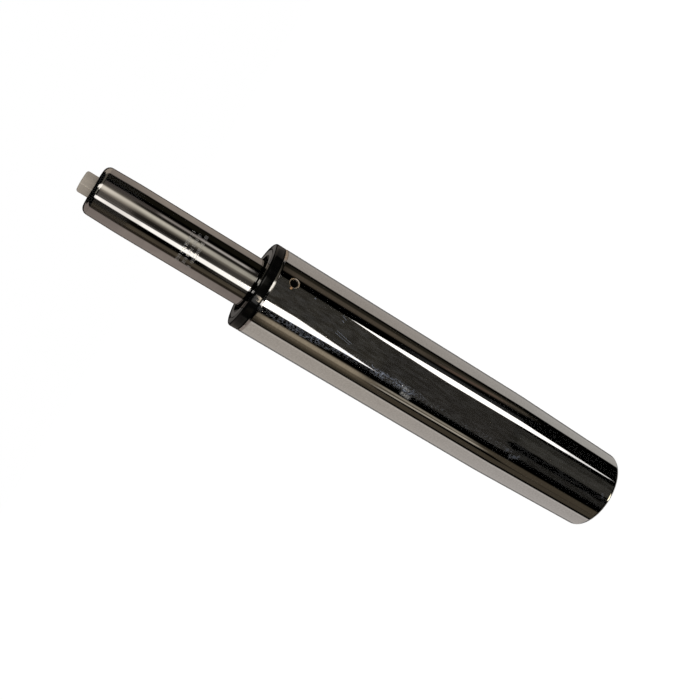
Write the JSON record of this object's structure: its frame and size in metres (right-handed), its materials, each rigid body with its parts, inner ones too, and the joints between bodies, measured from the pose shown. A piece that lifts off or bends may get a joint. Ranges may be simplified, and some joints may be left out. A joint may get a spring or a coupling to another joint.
{
  "type": "chair gas lift",
  "caption": "Chair gas lift: chromed column with a tapered foot, guide bush with a collar, sliding and turning pressure tube with a tapered top, and a release button.",
  "frame": {"origin": "centre of the foot, on the plane that the column stands on", "axes": "+Z along the lift's axis, from the foot to the release button; the first lock hole lies 63 degrees from +X towards -Y"},
  "size_m": [0.05, 0.05, 0.3356],
  "materials": {
    "column_chrome": "polished chrome plate",
    "tube_chrome": "polished chrome plate",
    "black_plastic": "moulded, glossy",
    "ivory_plastic": "moulded, satin",
    "natural_plastic": "moulded, satin",
    "plate_steel": "zinc plated",
    "ground_steel": "ground",
    "spring_steel": "oil blackened",
    "black_rubber": "moulded, matt",
    "turned_aluminium": "turned",
    "turned_brass": "turned"
  },
  "bodies": {
    "column": {"outer_column": "column_chrome", "base_plate": "plate_steel", "lower_race": "ground_steel", "guide_bush": "black_plastic"},
    "cage": {"ball_cage": "natural_plastic", "bearing_balls": "ground_steel"},
    "rod": {"piston_rod": "ground_steel", "upper_race": "ground_steel", "clip_washer": "plate_steel", "retaining_clip": "spring_steel", "bumper_washer": "plate_steel", "bumper": "black_rubber", "piston": "turned_aluminium", "piston_seal": "black_rubber", "piston_washer": "plate_steel", "piston_nut": "plate_steel"},
    "tube": {"pressure_tube": "tube_chrome", "rod_guide": "natural_plastic", "rod_seal": "black_rubber", "seal_washer": "plate_steel", "cylinder_seat": "turned_aluminium", "inner_cylinder": "ground_steel", "valve_body": "turned_brass", "valve_tube_seal": "black_rubber", "valve_cylinder_seal": "black_rubber", "pin_seals": "black_rubber", "pin_seal_spacer": "natural_plastic", "button_guide": "natural_plastic"},
    "button": {"release_button": "ivory_plastic", "valve_pin": "ground_steel"}
  },
  "joints": [
    {"name": "swivel", "type": "hinge", "parent": "column", "child": "rod", "pos_m": [0, 0, 0], "axis": [0, 0, 1], "continuous": true},
    {"name": "cage_spin", "type": "hinge", "parent": "column", "child": "cage", "pos_m": [0, 0, 0], "axis": [0, 0, 1], "continuous": true},
    {"name": "lift", "type": "slide", "parent": "rod", "child": "tube", "axis": [0, 0, 1], "range_m": [-0.05, 0.05]},
    {"name": "button_press", "type": "slide", "parent": "tube", "child": "button", "axis": [0, 0, 1], "range_m": [-0.0045, 0], "stiffness_N_per_m": 4000}
  ],
  "couplings": [
    {"joint": "cage_spin", "follows": "swivel", "ratio": 0.5}
  ]
}
